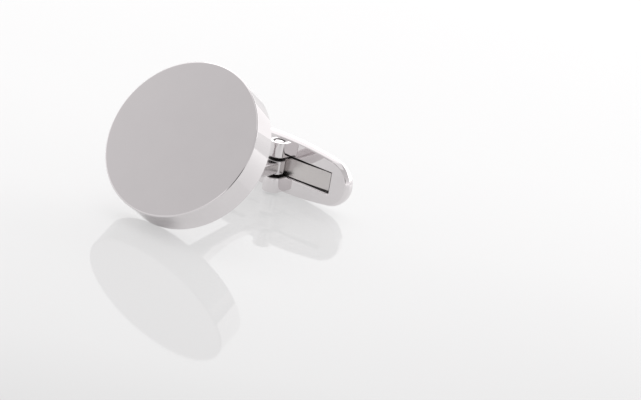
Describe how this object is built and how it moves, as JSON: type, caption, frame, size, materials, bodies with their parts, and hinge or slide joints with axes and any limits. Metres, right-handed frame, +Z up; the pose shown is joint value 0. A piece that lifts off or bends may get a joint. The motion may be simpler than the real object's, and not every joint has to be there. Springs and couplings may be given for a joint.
{
  "type": "swivel cufflink",
  "caption": "Polished metal cufflink with a plain round face disc, a flared curved arm and a slotted boat-shaped toggle that swivels on an upright pin.",
  "frame": {"origin": "on the surface that the cufflink lies on, below the middle of its bounding box", "axes": "+Z up, +Y from the face disc to the toggle, +X along the open toggle; the part is a mirror image of itself across the plane X = 0"},
  "size_m": [0.0176, 0.0246, 0.0158],
  "materials": {
    "polished_metal": "mirror polished, rhodium plated",
    "spring_steel": "fine satin"
  },
  "bodies": {
    "face_side": {"front_disc": "polished_metal", "arm": "polished_metal"},
    "toggle": {"toggle_frame": "polished_metal", "back_shell": "polished_metal", "leaf_spring": "spring_steel", "hinge_pin": "polished_metal"}
  },
  "joints": [
    {"name": "toggle_swing", "type": "hinge", "parent": "face_side", "child": "toggle", "pos_m": [0, 0.00949, 0.0031], "axis": [0, 0, 1], "range_deg": [-90, 90]}
  ]
}
